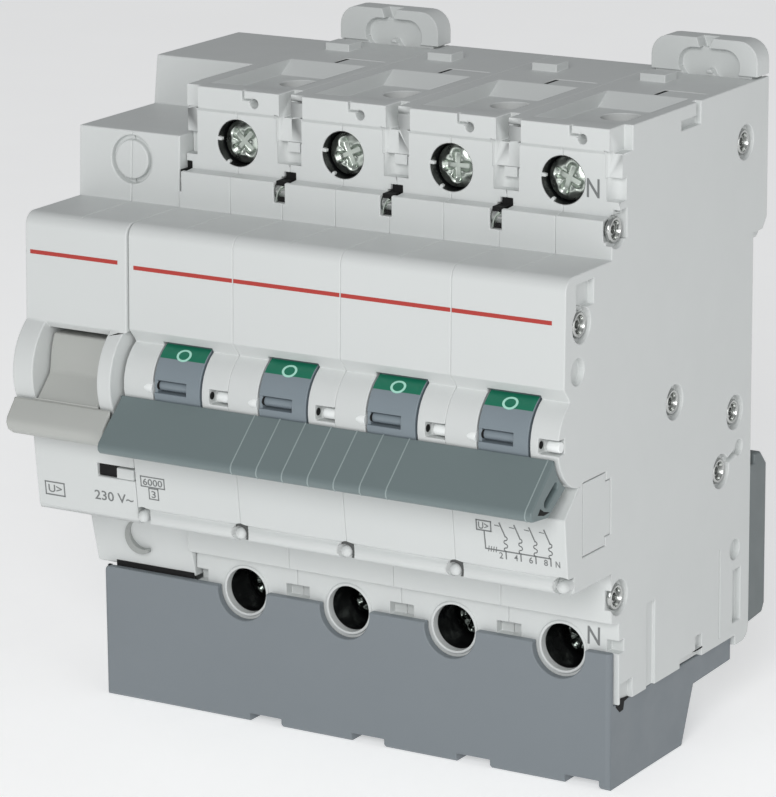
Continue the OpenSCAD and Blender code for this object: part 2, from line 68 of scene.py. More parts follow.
MM = 0.001
POLES = (1, 2, 3, 4)
SLOTS = {s["node"]: s["material_slot"] for s in frame["record"]["subparts"]}
BODIES = frame["record"]["behaviour"]["bodies"]
BODY_OF = {node: body for body, nodes in BODIES.items() for node in nodes}
JOINTS = {j["name"]: j for j in frame["joints"]}


def span(node):
    """A node's lowest and highest corners in millimetres."""
    low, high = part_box(node)
    return Vector(low) / MM, Vector(high) / MM


def middle(node):
    low, high = span(node)
    return (low + high) / 2


PIVOT = Vector(JOINTS["handle_swing"]["pos_m"]) / MM
POLE_X = {i: middle(f"upper_screw_{i}").x for i in POLES}
DRUM_X = {i: middle(f"toggle_{i}").x for i in POLES}
POLE_HALF = (POLE_X[2] - POLE_X[1]) / 2
BREAKER_LEFT = POLE_X[1] - POLE_HALF
RIGHT_X = span("pole_4_shell_right")[1].x
LEFT_X = span("release_shell_left")[0].x
JOINT_X = [POLE_X[i] + POLE_HALF for i in (1, 2, 3)]
TOP_Z = span("pole_1_shell_right")[1].z

# Radii about the toggles' axis: the drawn drums, and the bar's inner side just outside the CAD drums.
DRUM_R = 6.95
BAR_INNER_R = 7.2

# Edges sharper than this are rounded, and faces flatter than this are joined, in degrees.
SHARP = 30
FLAT = 0.8
# Smoothing angle of the poles' halves. It is just under the steps of a rounded edge, so that less
# shading runs off the ends of the roundings.
SHELL_SMOOTH = 28


# ---- Materials ----

def srgb(r, g, b):
    """A linear colour from 0-255 display values."""
    def channel(v):
        v /= 255
        return v / 12.92 if v <= 0.04045 else ((v + 0.055) / 1.055) ** 2.4
    return (channel(r), channel(g), channel(b), 1)


def node_material(name):
    material = bpy.data.materials.new(name)
    material.use_nodes = True
    tree = material.node_tree
    return material, tree, tree.nodes["Principled BSDF"]


def noise(tree, coords, scale, detail):
    n = tree.nodes.new("ShaderNodeTexNoise")
    n.inputs["Scale"].default_value = scale
    n.inputs["Detail"].default_value = detail
    tree.links.new(coords.outputs["Object"], n.inputs["Vector"])
    return n


def roughened(tree, coords, shader, scale, detail, strength, height):
    """Fine bumps, with their height in millimetres."""
    grain = noise(tree, coords, scale, detail)
    bump = tree.nodes.new("ShaderNodeBump")
    bump.inputs["Strength"].default_value = strength
    bump.inputs["Distance"].default_value = height * MM
    tree.links.new(grain.outputs["Fac"], bump.inputs["Height"])
    tree.links.new(bump.outputs["Normal"], shader.inputs["Normal"])


def varied(tree, factor, low, high, target):
    ramp = tree.nodes.new("ShaderNodeMapRange")
    ramp.inputs["From Min"].default_value = 0.3
    ramp.inputs["From Max"].default_value = 0.7
    ramp.inputs["To Min"].default_value = low
    ramp.inputs["To Max"].default_value = high
    tree.links.new(factor, ramp.inputs["Value"])
    tree.links.new(ramp.outputs["Result"], target)


def tinted(tree, factor, colour, spread, target):
    mix = tree.nodes.new("ShaderNodeMix")
    mix.data_type = "RGBA"
    dark = [c * (1 - spread) for c in colour[:3]]
    light = [min(1, c * (1 + spread)) for c in colour[:3]]
    mix.inputs[6].default_value = (*dark, 1)
    mix.inputs[7].default_value = (*light, 1)
    tree.links.new(factor, mix.inputs[0])
    tree.links.new(mix.outputs[2], target)


def plastic(name, colour, rough=0.5, grain=0.05, spread=0.03):
    """Moulded plastic: fine spark-eroded grain, cloudy gloss and a slight unevenness of tint."""
    material, tree, shader = node_material(name)
    coords = tree.nodes.new("ShaderNodeTexCoord")
    cloud = noise(tree, coords, 45, 3)
    tinted(tree, cloud.outputs["Fac"], colour, spread, shader.inputs["Base Color"])
    gloss = noise(tree, coords, 260, 2)
    varied(tree, gloss.outputs["Fac"], rough - 0.05, rough + 0.06, shader.inputs["Roughness"])
    roughened(tree, coords, shader, 5200, 2, grain, 0.03)
    shader.inputs["IOR"].default_value = 1.5
    return material


def metal(name, colour, rough=0.25, spread=0.18, scratch=0.25):
    """Plated or drawn metal with patchy tint, patchy gloss and fine tool marks."""
    material, tree, shader = node_material(name)
    shader.inputs["Metallic"].default_value = 1
    coords = tree.nodes.new("ShaderNodeTexCoord")
    patches = noise(tree, coords, 700, 4)
    tinted(tree, patches.outputs["Fac"], colour, spread, shader.inputs["Base Color"])
    varied(tree, patches.outputs["Fac"], rough - 0.08, rough + 0.12, shader.inputs["Roughness"])
    roughened(tree, coords, shader, 3500, 3, scratch, 0.02)
    return material


LIGHT = plastic("light_plastic", srgb(210, 213, 212), 0.48)
SLATE = plastic("slate_plastic", srgb(123, 130, 135), 0.5)
# The rail foot's slate plastic drawn darker: painted shade on its side.
FOOT_SHADE = plastic("foot_painted_shade", srgb(111, 118, 119), 0.5)
TOGGLE = plastic("toggle_plastic", srgb(127, 138, 145), 0.42)
BAR = plastic("bar_plastic", srgb(112, 125, 126), 0.45)
# A lighter copy of the bar's plastic for its raised lines: painted highlights on them.
BAR_BEAD_HIGHLIGHT = plastic("bar_bead_highlight", srgb(150, 163, 163), 0.42)
LEVER = plastic("lever_plastic", srgb(179, 181, 177), 0.45)
# Dark plastic; in the screwdriver openings it also paints the shade inside them.
DARK = plastic("dark_plastic", srgb(18, 19, 20), 0.22)
# Matte black for pieces that paint the shade in slots, holes, gaps, notches and hollows.
HOLLOW_SHADE = plastic("painted_hollow_shade", srgb(9, 9, 10), 0.85)
DEEP_SHADE = plastic("deep_shade", srgb(78, 80, 79), 0.6)
WHITE = plastic("white_plastic", srgb(238, 241, 240), 0.4)
SHADE = plastic("shaded_plastic", srgb(158, 161, 159), 0.5)
BOARD = plastic("circuit_board", srgb(30, 92, 52), 0.35)
GREEN = plastic("flag_green", srgb(22, 112, 86), 0.4)
MINT = plastic("flag_mint", srgb(170, 224, 206), 0.4)
PRINT_RED = plastic("print_red", srgb(176, 54, 46), 0.5)
PRINT_GREY = plastic("print_grey", srgb(118, 121, 121), 0.5)
ZINC = metal("zinc", srgb(198, 206, 198), 0.3, 0.04, 0.01)
# The screws' zinc drawn darker: painted shade for the lower ones, deep in their openings.
SHADED_ZINC = metal("zinc_painted_shade", srgb(96, 102, 98), 0.2, 0.05, 0.02)
STEEL = metal("plate_steel", srgb(192, 194, 192), 0.24, 0.12)
COPPER = metal("copper", srgb(196, 122, 84), 0.3)

BY_SLOT = {
    "light_plastic": LIGHT, "slate_plastic": SLATE, "toggle_plastic": TOGGLE,
    "bar_plastic": BAR, "lever_plastic": LEVER, "dark_plastic": DARK, "board_green": BOARD,
    "copper": COPPER, "plate_steel": STEEL, "zinc_steel": ZINC,
}


# ---- Adding shapes to a mesh, in millimetres ----

def add_box(bm, x0, x1, y0, y1, z0, z1):
    add_slab(bm, [(y0, z0), (y1, z0), (y1, z1), (y0, z1)], x0, x1)


def add_prism(bm, outline, start, stop, place):
    """An outline spread from start to stop; place makes a point of its two values and the spread."""
    ends = [[bm.verts.new(place(u, v, w)) for u, v in outline] for w in (start, stop)]
    new = [bm.faces.new(ends[0][::-1]), bm.faces.new(ends[1])]
    count = len(outline)
    for k in range(count):
        j = (k + 1) % count
        new.append(bm.faces.new((ends[0][k], ends[0][j], ends[1][j], ends[1][k])))
    bmesh.ops.recalc_face_normals(bm, faces=new)


def add_slab(bm, outline, x0, x1):
    """A side outline given as depth and height, spread from x0 to x1."""
    add_prism(bm, outline, x0, x1, lambda y, z, x: (x, y, z))


def add_front(bm, outline, y0, y1):
    """A front outline given as x and height, spread from y0 to y1."""
    add_prism(bm, outline, y0, y1, lambda x, z, y: (x, y, z))


def round_points(centre, radius, start, stop, steps):
    """Points along an arc, with the angles in degrees."""
    angles = [math.radians(start + (stop - start) * k / steps) for k in range(steps + 1)]
    return [(centre[0] + radius * math.cos(a), centre[1] + radius * math.sin(a)) for a in angles]


def add_rings(bm, rings, closed=False):
    """Joins rings of equally many points; open rows of rings end in flat caps."""
    rows = [[bm.verts.new(p) for p in ring] for ring in rings]
    count = len(rows[0])
    pairs = list(zip(rows, rows[1:]))
    if closed:
        pairs.append((rows[-1], rows[0]))
    new = []
    for a, b in pairs:
        for k in range(count):
            j = (k + 1) % count
            new.append(bm.faces.new((a[k], a[j], b[j], b[k])))
    if not closed:
        new += [bm.faces.new(rows[0][::-1]), bm.faces.new(rows[-1])]
    bmesh.ops.recalc_face_normals(bm, faces=new)


def add_plan(bm, outline, z0, z1):
    """An outline seen from above, given as x and depth, spread from z0 to z1."""
    add_rings(bm, [[(x, y, z) for x, y in outline] for z in (z0, z1)])


def add_turned(bm, profile, centre, axis, steps=40, closed=False):
    """A turned shape: the profile gives radius and distance along the x or y axis."""
    rings = []
    for radius, along in profile:
        ring = []
        for k in range(steps):
            a = 2 * math.pi * k / steps
            u, v = radius * math.cos(a), radius * math.sin(a)
            if axis == "x":
                ring.append((along, centre[0] + u, centre[1] + v))
            else:
                ring.append((centre[0] + u, along, centre[1] + v))
        rings.append(ring)
    add_rings(bm, rings, closed)


def add_drum_patch(bm, x0, x1, start, stop, radius, thickness=0.1, steps=8):
    """A thin sheet wrapped round the toggles' axis."""
    outer = round_points((PIVOT.y, PIVOT.z), radius, start, stop, steps)
    inner = round_points((PIVOT.y, PIVOT.z), radius - thickness, stop, start, steps)
    add_slab(bm, outer + inner, x0, x1)


# ---- Finding the housing's surface ----

def surface_tree(*nodes):
    bm = bmesh.new()
    for node in nodes:
        bm.from_mesh(frame["nodes"][node].data)
    bmesh.ops.scale(bm, vec=Vector((1, 1, 1)) / MM, verts=bm.verts)
    tree = BVHTree.FromBMesh(bm)
    bm.free()
    return tree


SHELLS = [f"pole_{i}_shell_{side}" for i in POLES for side in ("left", "right")]
HOUSING = surface_tree("release_shell_left", "release_shell_right", *SHELLS)


def front_y(x, z):
    """Depth of the housing's front at a place across and up."""
    hit = HOUSING.ray_cast(Vector((x, -100, z)), Vector((0, 1, 0)))
    return hit[0].y


# ---- Making pieces ----

def add_piece(name, bm, like, material, smooth_angle=38, stands_for=True):
    """A finished piece that rides on the body of the CAD node it is like, and may stand for it."""
    bmesh.ops.scale(bm, vec=Vector((MM, MM, MM)), verts=bm.verts)
    mesh = bpy.data.meshes.new(name)
    bm.to_mesh(mesh)
    bm.free()
    piece = bpy.data.objects.new(name, mesh)
    bpy.context.scene.collection.objects.link(piece)
    mesh.materials.append(material)
    mesh.polygons.foreach_set("use_smooth", [True] * len(mesh.polygons))
    mesh.set_sharp_from_angle(angle=math.radians(smooth_angle))
    normals = piece.modifiers.new("even_normals", "WEIGHTED_NORMAL")
    normals.keep_sharp = True
    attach(piece, BODY_OF[like])
    if stands_for:
        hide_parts(like)
    return piece


def cad_copy(node):
    """The node's surface as one welded mesh, in millimetres."""
    bm = bmesh.new()
    bm.from_mesh(frame["nodes"][node].data)
    bmesh.ops.scale(bm, vec=Vector((1, 1, 1)) / MM, verts=bm.verts)
    bmesh.ops.remove_doubles(bm, verts=bm.verts, dist=0.0005)
    return bm


def whole_flats(bm):
    """Joins the faces of each flat area."""
    bmesh.ops.dissolve_limit(bm, angle_limit=math.radians(FLAT), verts=bm.verts, edges=bm.edges)


def cut_away(bm, draw_tool):
    """Cuts away the shape that the function draws."""
    tool = bmesh.new()
    draw_tool(tool)
    holders = []
    for part in (bm, tool):
        mesh = bpy.data.meshes.new("work")
        part.to_mesh(mesh)
        holder = bpy.data.objects.new("work", mesh)
        bpy.context.scene.collection.objects.link(holder)
        holders.append(holder)
    tool.free()
    modifier = holders[0].modifiers.new("work", "BOOLEAN")
    modifier.operation = "DIFFERENCE"
    modifier.solver = "EXACT"
    modifier.object = holders[1]
    depsgraph = bpy.context.evaluated_depsgraph_get()
    result = bpy.data.meshes.new_from_object(holders[0].evaluated_get(depsgraph))
    bm.clear()
    bm.from_mesh(result)
    bpy.data.meshes.remove(result)
    for holder in holders:
        mesh = holder.data
        bpy.data.objects.remove(holder)
        bpy.data.meshes.remove(mesh)


def round_edges(bm, width, keep=lambda edge: True, segments=3):
    """Rounds the sharp edges that the test keeps."""
    edges = [e for e in bm.edges
             if len(e.link_faces) == 2 and e.calc_face_angle(0) > math.radians(SHARP) and keep(e)]
    bmesh.ops.bevel(bm, geom=edges, offset=width, offset_type="OFFSET", segments=segments,
                    profile=0.5, affect="EDGES", clamp_overlap=False)


def skin(node, material, width, keep=lambda edge: True, cuts=(), shift=None, smooth_angle=40):
    """The CAD node's surface with extra cuts and rounded edges."""
    bm = cad_copy(node)
    for cut in cuts:
        cut_away(bm, cut)
    whole_flats(bm)
    if shift:
        for v in bm.verts:
            v.co = shift(v.co)
    round_edges(bm, width, keep)
    return add_piece(node + "_skin", bm, node, material, smooth_angle)


def small_part(name, like, material, shapes, width=0.08, segments=2):
    """A small separate piece, drawn by a function and rounded along its edges."""
    bm = bmesh.new()
    shapes(bm)
    round_edges(bm, width, segments=segments)
    return add_piece(name, bm, like, material, stands_for=False)


# ---- Housing ----

def seam_edges(x):
    """A test of which edges of a half housing to round: not those in its joint, which stays tight, nor
    those in narrow places, where roundings would run into each other.
    """
    pocket_side = 6.3

    def keep(edge):
        ends = [v.co for v in edge.verts]
        in_joint = all(abs(co.x - x) < 0.01 for co in ends)
        on_shoulder = all(co.y < -40 and 22 < co.z < 37.5 for co in ends)
        by_pocket = all(co.y < -38 and 29.5 < co.z < 42 and abs(co.x - x) > pocket_side
                        for co in ends)
        under_nose = all(-23.5 < co.z < -22.6 for co in ends)
        by_socket = all(co.y < -54 and -23.5 < co.z < -19.9 for co in ends)
        return (not in_joint or on_shoulder) and not (by_pocket or under_nose or by_socket)
    return keep


def cap_slit(x):
    """Slit from the top of a terminal cap, stepping right towards a small hole."""
    outline = [
        (x + 1.25, TOP_Z + 1), (x + 1.25, 38.95), (x + 2.9, 38.95), (x + 2.9, 39.25),
        (x + 1.6, 39.25), (x + 1.6, TOP_Z + 1),
    ]
    return lambda bm: add_front(bm, outline, -43, -41.5)


def cap_hole(x):
    """Small hole in the front of a terminal cap, at the foot of its slit."""
    return lambda bm: add_turned(bm, [(0.72, -43), (0.72, -40)], (x + 3.3, 38.6), "y", 24)


def top_slot(x):
    """Angled slot in the top behind a wire entry."""
    outline = [(x + 0.7, -16.6), (x + 1.5, -16.6), (x + 1.5, -13), (x + 7.6, -13),
               (x + 7.6, -12.6), (x + 0.7, -12.6)]
    return lambda bm: add_plan(bm, outline, TOP_Z - 3, TOP_Z + 0.5)


def joint_line(x):
    """Line across the block between two terminal caps."""
    return lambda bm: add_box(bm, x + 0.05, x + 2.7, -42, -41.3, 39.3, 39.5)


def side_cuts(bm):
    """A fine line, a sloping channel and three notches on the right side."""
    add_box(bm, RIGHT_X - 0.2, RIGHT_X + 1, -9.9, -9.6, -42.1, -28.4)
    add_slab(bm, [(-8.2, -15.9), (-4.2, -14.6), (-4.2, -13.7), (-8, -14.9)],
             RIGHT_X - 0.8, RIGHT_X + 1)
    add_box(bm, RIGHT_X - 0.9, RIGHT_X + 1, -22.4, -15.4, -46, -41.9)
    add_box(bm, RIGHT_X - 0.9, RIGHT_X + 1, -17.4, -15.4, -41.8, -39.7)
    add_box(bm, RIGHT_X - 0.9, RIGHT_X + 1, -40.9, -37.2, -46, -40.2)


def housing():
    """The housing's halves and the plain pieces on them, with rounded edges."""
    for i in POLES:
        x = POLE_X[i]
        left_cuts = [joint_line(x - POLE_HALF)] if i > 1 else []
        right_cuts = [cap_slit(x), cap_hole(x), top_slot(x)]
        if i == 4:
            right_cuts.append(side_cuts)
        skin(f"pole_{i}_shell_left", LIGHT, 0.16, seam_edges(x), left_cuts,
             smooth_angle=SHELL_SMOOTH)
        skin(f"pole_{i}_shell_right", LIGHT, 0.16, seam_edges(x), right_cuts,
             smooth_angle=SHELL_SMOOTH)
    seam = span("release_shell_left")[1].x
    off_seam = seam_edges(seam)
    skin("release_shell_left", LIGHT, 0.22, off_seam)

    def drawn_back(co):
        gap = 0.12 if co.x > BREAKER_LEFT - 0.01 else 0
        return Vector((co.x - gap, co.y, co.z))
    skin("release_shell_right", LIGHT, 0.22, off_seam, shift=drawn_back)
    for node, width in (("side_cap", 0.08), ("interlock_slider", 0.1), ("rail_foot", 0.3),
                        ("rail_latch_left", 0.14), ("rail_latch_right", 0.14)):
        # The rail foot gets the darker slate: painted shade.
        skin(node, FOOT_SHADE if node == "rail_foot" else BY_SLOT[SLOTS[node]], width)


def joint_details():
    """Blocks, black fills and spring glints between the terminals, and black fills in the top slots; the black
    fills paint the shade in the slots.
    """
    def blocks(bm):
        for x in JOINT_X:
            add_box(bm, x - 0.7, x + 1.4, -41.2, -39.4, 31.9, 33.35)
    small_part("joint_blocks", "pole_1_shell_left", LIGHT, blocks)

    # Black boxes in the joint slots: painted shade.
    def slots(bm):
        for x in JOINT_X + [BREAKER_LEFT]:
            add_box(bm, x - 0.98, x + 0.98, -41.3, -39.65, 27.05, 28.95)
            add_box(bm, x - 1.48, x + 0.38, -43.2, -39.65, 24.85, 27.9)
    small_part("joint_slot_shades", "link_box", HOLLOW_SHADE, slots, 0.05)

    # Black fills in the top slots: painted shade.
    def top_slot_shades(bm):
        for x in POLE_X.values():
            outline = [(x + 0.78, -16.5), (x + 1.42, -16.5), (x + 1.42, -12.92), (x + 7.5, -12.92),
                       (x + 7.5, -12.68), (x + 0.78, -12.68)]
            add_plan(bm, outline, TOP_Z - 2.6, TOP_Z - 0.1)
    small_part("top_slot_painted_shade", "pole_1_shell_right", HOLLOW_SHADE, top_slot_shades, 0.01, 1)

    def springs(bm):
        for x in JOINT_X:
            bend = round_points((x + 2.25, 25), 3.45, 179, 136, 8)
            inner = round_points((x + 2.25, 25), 3.22, 136, 179, 8)
            add_front(bm, bend + inner, -43.9, -43.1)
    small_part("joint_springs", "housing_rivets", ZINC, springs, 0.04)


def window_rods():
    """White rod ends on both sides of each toggle, and black discs that paint the shade of the holes that the
    right ones run into.
    """
    rod_y, rod_z = PIVOT.y - 5.9, PIVOT.z + 0.15

    def rods(bm):
        for x in POLE_X.values():
            add_turned(bm, [(0.72, x + 7), (0.78, x + 7.2), (0.78, x + 8.85), (0.7, x + 8.98)],
                       (rod_y, rod_z), "x", 28)
            add_turned(bm, [(0.3, x - 6.6), (0.62, x - 5.6), (0.9, x - 4.7), (0.9, x - 3.95)],
                       (rod_y - 0.32, rod_z), "x", 28)
    small_part("tie_rods", "pole_1_shell_left", WHITE, rods, 0.03, 1)

    # Black discs: painted shade of the holes.
    def holes(bm):
        for x in POLE_X.values():
            add_turned(bm, [(0.56, x + 5.4), (0.56, x + 5.86)], (rod_y - 0.1, rod_z), "x", 24)
    small_part("tie_hole_shades", "link_box", HOLLOW_SHADE, holes, 0.02, 1)


def bore_shade_sleeves():
    """Dark sleeves in the screwdriver openings, which paint the shade inside them, and two nubs at the mouth of
    each upper one.
    """
    outer, inner, back_rim, head_depth = 3.48, 3.4, 2.8, 2.05
    bm = bmesh.new()
    for i in POLES:
        for row, mouth in (("upper", -41.6), ("lower", -40.4)):
            head = middle(f"{row}_screw_{i}")
            back = span(f"{row}_screw_{i}")[0].y + head_depth
            profile = [(outer, mouth), (outer, back), (back_rim, back), (back_rim, back - 0.03),
                       (inner, back - 0.03), (inner, mouth)]
            add_turned(bm, profile, (POLE_X[i], head.z), "y", 56, closed=True)
    add_piece("bore_shade_sleeves", bm, "link_box", DARK, stands_for=False)

    def nubs(bm):
        for i in POLES:
            z = middle(f"upper_screw_{i}").z
            for angle, reach in ((172, 2.8), (240, 3.05)):
                a = math.radians(angle)
                away = Vector((math.cos(a), 0, math.sin(a)))
                side = Vector((-away.z, 0, away.x)) * 0.3
                rings = []
                for y in (-41.75, -41.1):
                    start = Vector((POLE_X[i], y, z))
                    rings.append([start + away * 3.65 - side, start + away * 3.65 + side,
                                  start + away * reach + side * 0.7,
                                  start + away * reach - side * 0.7])
                add_rings(bm, rings)
    small_part("bore_nubs", "pole_1_shell_left", LIGHT, nubs, 0.06)


# ---- Screws and rivets ----

HEAD_R = (span("upper_screw_1")[1].x - span("upper_screw_1")[0].x) / 2


def smooth(value, low, high):
    t = min(1, max(0, (value - low) / (high - low)))
    return t * t * (3 - 2 * t)


def head_relief(r, angle, turn):
    """Height of a screw head: domed, with a cross and a star sunk in it and low lobes round them."""
    angle += turn
    across, up = r * math.cos(angle), r * math.sin(angle)
    near = min(abs(across), abs(up))
    diagonal = min(abs(across - up), abs(across + up)) / math.sqrt(2)
    cross = (1 - smooth(near, 0.3, 0.95)) * (1 - smooth(r, 1.7, 2.6))
    star = (1 - smooth(diagonal, 0.1, 0.6)) * (1 - smooth(r, 1.2, 2)) * 0.4
    lobes = 0.1 * smooth(r, 1.9, 2.5) * (1 - smooth(r, 2.7, 3.1)) * math.cos(4 * angle) ** 2
    dome = 0.7 * (r / HEAD_R) ** 3
    return -(0.75 * max(cross, star) + lobes + dome)


def screw(node, material, turn):
    """A terminal screw with its recess and thread, in place of the plain one."""
    low, high = span(node)
    centre = middle(node)
    around, out = 120, 30
    head_depth, pitch, turns = 2, 0.8, 10
    angles = [2 * math.pi * k / around for k in range(around)]

    def ring(radius, depth_at):
        return [(centre.x + radius * math.cos(a), low.y + depth_at(a), centre.z + radius * math.sin(a))
                for a in angles]
    rings = []
    for j in range(1, out + 1):
        r = HEAD_R * j / out
        rings.append(ring(r, lambda a: -head_relief(r, a, turn)))
    shank = [(HEAD_R, head_depth), (2.4, head_depth)]
    for k in range(turns):
        shank += [(2.1, head_depth + 0.2 + pitch * k), (2.42, head_depth + 0.6 + pitch * k)]
    shank.append((1.9, high.y - low.y))
    for radius, depth in shank:
        rings.append(ring(radius, lambda a: depth))
    bm = bmesh.new()
    add_rings(bm, rings)
    add_piece(node + "_detailed", bm, node, material, 75)


def screws():
    for i in POLES:
        screw(f"upper_screw_{i}", ZINC, 0.35 + 0.4 * i)
        # The lower screws get the darker zinc: painted shade.
        screw(f"lower_screw_{i}", SHADED_ZINC, 0.2 + 0.5 * i)


def rivets():
    """Hollow rivets with rolled rims, set in the counterbores of the right side."""
    bm = bmesh.new()
    face = RIGHT_X - 0.35
    for y, z in RIVETS:
        profile = [
            (1.15, BREAKER_LEFT + 0.1), (1.15, face - 0.75), (1.75, face - 0.7), (1.95, face - 0.45),
            (1.92, face - 0.15), (1.7, face + 0.05), (1.42, face), (1.28, face - 0.35),
            (1.2, face - 0.9), (0.95, face - 0.9), (0.85, face - 0.5), (0.6, face - 0.45),
            (0.5, face - 1.2),
        ]
        add_turned(bm, profile, (y, z), "x", 36)
    add_piece("rolled_rivets", bm, "housing_rivets", STEEL, 50)


def solid_centres(node):
    """Depth and height of the middle of each separate solid of a node."""
    bm = cad_copy(node)
    left = set(bm.verts)
    centres = []
    while left:
        stack = [left.pop()]
        group = list(stack)
        while stack:
            for edge in stack.pop().link_edges:
                for v in edge.verts:
                    if v in left:
                        left.remove(v)
                        group.append(v)
                        stack.append(v)
        ys = [v.co.y for v in group]
        zs = [v.co.z for v in group]
        centres.append(((min(ys) + max(ys)) / 2, (min(zs) + max(zs)) / 2))
    bm.free()
    return sorted(centres)


RIVETS = solid_centres("housing_rivets")


# ---- Handles ----

def toggle(i):
    """A toggle drum drawn in a little, with its green flag, recess end, letter O and a black disc painting the
    shade of its pin hole.
    """
    node = f"toggle_{i}"
    low, high = span(node)
    drawn_in = DRUM_R / ((high.z - low.z) / 2)
    core_r = 3

    def flush(co):
        if math.hypot(co.y - PIVOT.y, co.z - PIVOT.z) < core_r:
            return co
        return Vector((co.x, PIVOT.y + (co.y - PIVOT.y) * drawn_in,
                       PIVOT.z + (co.z - PIVOT.z) * drawn_in))
    skin(node, TOGGLE, 0.1, shift=flush)

    def flag(bm):
        add_drum_patch(bm, low.x + 0.1, high.x - 0.1, 118, 139.5, DRUM_R + 0.02)
    small_part(f"flag_{i}", node, GREEN, flag, 0.01, 1)

    def recess_end(bm):
        add_box(bm, low.x + 0.02, low.x + 0.55, -59.1, -57.6, -1.5, 0.4)
    small_part(f"recess_end_{i}", node, TOGGLE, recess_end, 0.05, 1)

    # A black disc: painted shade of the pin hole.
    def pin_hole_shade(bm):
        add_turned(bm, [(0.62, low.x + 0.5), (0.62, low.x + 0.7)],
                   (PIVOT.y - 6.25, PIVOT.z + 0.62), "x", 28)
    small_part(f"pin_hole_shade_{i}", node, HOLLOW_SHADE, pin_hole_shade, 0.02, 1)
    bm = bmesh.new()
    ring_of_o(bm, DRUM_X[i], 133)
    add_piece(f"off_mark_{i}", bm, node, MINT, stands_for=False)


def toggles():
    for i in POLES:
        toggle(i)


def ring_of_o(bm, x, angle, steps=40):
    """A raised letter O wrapped onto the drum, a little wider than tall."""
    half_width, half_height = 1.22, 1.04
    rings = []
    for k in range(steps):
        a = 2 * math.pi * k / steps
        section = []
        for scale, lift in ((1, 0.03), (0.7, 0.03), (0.7, -0.05), (1, -0.05)):
            turn = math.radians(angle) - half_height * scale * math.sin(a) / DRUM_R
            radius = DRUM_R + 0.02 + lift
            section.append((x + half_width * scale * math.cos(a), PIVOT.y + radius * math.cos(turn),
                            PIVOT.z + radius * math.sin(turn)))
        rings.append(section)
    add_rings(bm, rings, closed=True)


def bar_face():
    """The bar's outer line from the drum over the rounded lip, as depth and height."""
    reach = span("handle_bar")[0].y
    start = round_points((PIVOT.y, PIVOT.z), BAR_INNER_R, 191, 191, 1)[:1]
    return start + [(reach + 0.3, -8.1), (reach, -8.7), (reach, -9.3), (reach + 0.5, -9.9)]


def set_back(path, depth):
    """The bar's front outline moved into the bar by a depth."""
    moved = []
    for k, (y, z) in enumerate(path):
        along = Vector(path[min(len(path) - 1, k + 1)]) - Vector(path[max(0, k - 1)])
        along.normalize()
        side = 1 if along.y > 0 else -1
        moved.append((y + side * along.y * depth, z - side * along.x * depth))
    return moved


def handle():
    """The long bar with its raised lines, drawn lighter as painted highlights, and, in its right end, an oval slot
    and a black shape painting the shade of a notch.
    """
    low, high = span("handle_bar")
    path = bar_face()
    inner_side = round_points((PIVOT.y, PIVOT.z), BAR_INNER_R, 238, 192, 20)
    under = [(-61.3, -10.3), (-59.2, -9)] + inner_side
    bm = bmesh.new()
    add_slab(bm, set_back(path, 0.04) + under, low.x, high.x)
    slot_r, lean = 0.6, 33

    def slot(tool):
        ends = round_points((-59.1, -6.35), slot_r, lean - 90, lean + 90, 8)
        ends += round_points((-61.75, -8.05), slot_r, lean + 90, lean + 270, 8)
        add_slab(tool, ends, high.x - 1.3, high.x + 1)
    cut_away(bm, slot)
    whole_flats(bm)
    round_edges(bm, 0.28)
    add_piece("handle_bar_skin", bm, "handle_bar", BAR)
    # The raised lines are drawn in the lighter plastic: painted highlights.
    bead = set_back(path, 0.004) + set_back(path, 0.25)[::-1]
    first, pitch, count = -4.2, 4.28, 7
    end = high.x

    def beads(bm):
        for x in [first + pitch * k for k in range(count)] + [end - 1.05]:
            add_slab(bm, bead, x - 0.1, x + 0.1)
    small_part("bar_beads", "handle_bar", BAR_BEAD_HIGHLIGHT, beads, 0.03, 1)

    # A black shape at the bar's end: painted shade of a notch.
    def notch(bm):
        add_slab(bm, [(-64.3, -9.15), (-63.6, -8.35), (-62.6, -9), (-60.9, -9.5), (-62.6, -9.6)],
                 end - 0.3, end + 0.02)
    small_part("bar_end_notch_shade", "handle_bar", HOLLOW_SHADE, notch, 0.02, 1)


def release_parts():
    """The release block's lever, and the shades in its window and beside its disc."""
    skin("release_lever", LEVER, 0.35)
    slider_left = span("interlock_slider")[0].x

    def shade(bm):
        add_box(bm, -33.75, BREAKER_LEFT - 0.2, -54.4, -54.05, -16.25, -14.35)
        add_box(bm, -33.78, slider_left + 0.1, -56.3, -54.05, -16.25, -14.35)
    small_part("window_shade", "link_box", HOLLOW_SHADE, shade, 0.03, 1)

    def disc(bm):
        outer = round_points((-36, -29.6), 2.75, 100, 300, 24)
        inner = round_points((-35.5, -29.2), 2.35, 292, 108, 24)
        add_front(bm, outer + inner, -43.3, -42.4)
    small_part("disc_shadow", "release_shell_left", SHADE, disc, 0.03, 1)


def pin_shadows():
    """Dark crescents beside the ball-ended pins."""
    def crescents(bm):
        for x in JOINT_X:
            outer = round_points((x, -21.6), 1.48, -35, 125, 14)
            inner = round_points((x - 0.2, -21.75), 1.2, 125, -35, 14)
            add_front(bm, outer + inner, -56.4, -54.7)
    small_part("pin_shadows", "link_box", DEEP_SHADE, crescents, 0.02, 1)


# ---- Link box ----

